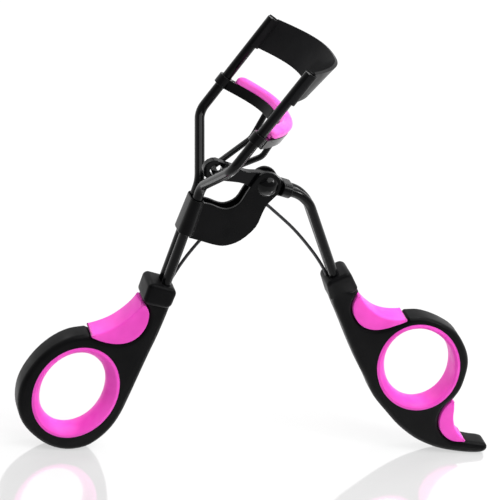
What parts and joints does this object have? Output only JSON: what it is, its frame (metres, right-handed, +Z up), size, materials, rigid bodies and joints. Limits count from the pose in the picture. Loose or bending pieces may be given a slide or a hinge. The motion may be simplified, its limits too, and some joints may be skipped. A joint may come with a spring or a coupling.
{
  "type": "eyelash curler",
  "caption": "Scissor-style eyelash curler with ring handles, a fixed curved upper jaw and a padded lower jaw that slides up two rods when the lever is squeezed.",
  "frame": {"origin": "centre of the footprint box at floor level, below the lowest points of both handles", "axes": "+X from the fixed ring handle towards the lever handle, +Y from the near jaw rod towards the far one, +Z up towards the jaws"},
  "size_m": [0.1288, 0.034, 0.112],
  "materials": {
    "black_metal": "satin black lacquer",
    "black_plastic": "satin",
    "pink_rubber": "soft satin",
    "spring_wire": "blackened wire"
  },
  "bodies": {
    "frame": {"left_handle": "black_plastic", "left_ring_liner": "pink_rubber", "left_thumb_pad": "pink_rubber", "frame_rod_near": "black_metal", "frame_rod_far": "black_metal", "upper_jaw": "black_metal", "hinge_bracket": "black_metal", "pivot_rivet": "black_metal", "return_spring": "spring_wire"},
    "lever": {"right_handle": "black_plastic", "right_ring_liner": "pink_rubber", "right_thumb_pad": "pink_rubber", "right_tail_pad": "pink_rubber", "lever_plate": "black_metal", "lever_rod_near": "black_metal", "lever_rod_far": "black_metal"},
    "jaw_carrier": {"lower_jaw": "black_metal", "silicone_pad": "pink_rubber", "link_yoke": "black_metal"}
  },
  "joints": [
    {"name": "lever_hinge", "type": "hinge", "parent": "frame", "child": "lever", "pos_m": [-0.0131, 0, 0.0757], "axis": [0, 1, 0], "range_deg": [0, 29], "stiffness_Nm_per_rad": 0.08, "springref_deg": -20.05, "deforming": ["return_spring"]},
    {"name": "jaw_slide", "type": "slide", "parent": "frame", "child": "jaw_carrier", "axis": [0.4602, 0, 0.8878], "range_m": [0, 0.00744]}
  ],
  "couplings": [
    {"joint": "jaw_slide", "follows": "lever_hinge", "m_per_rad": 0.014699}
  ]
}
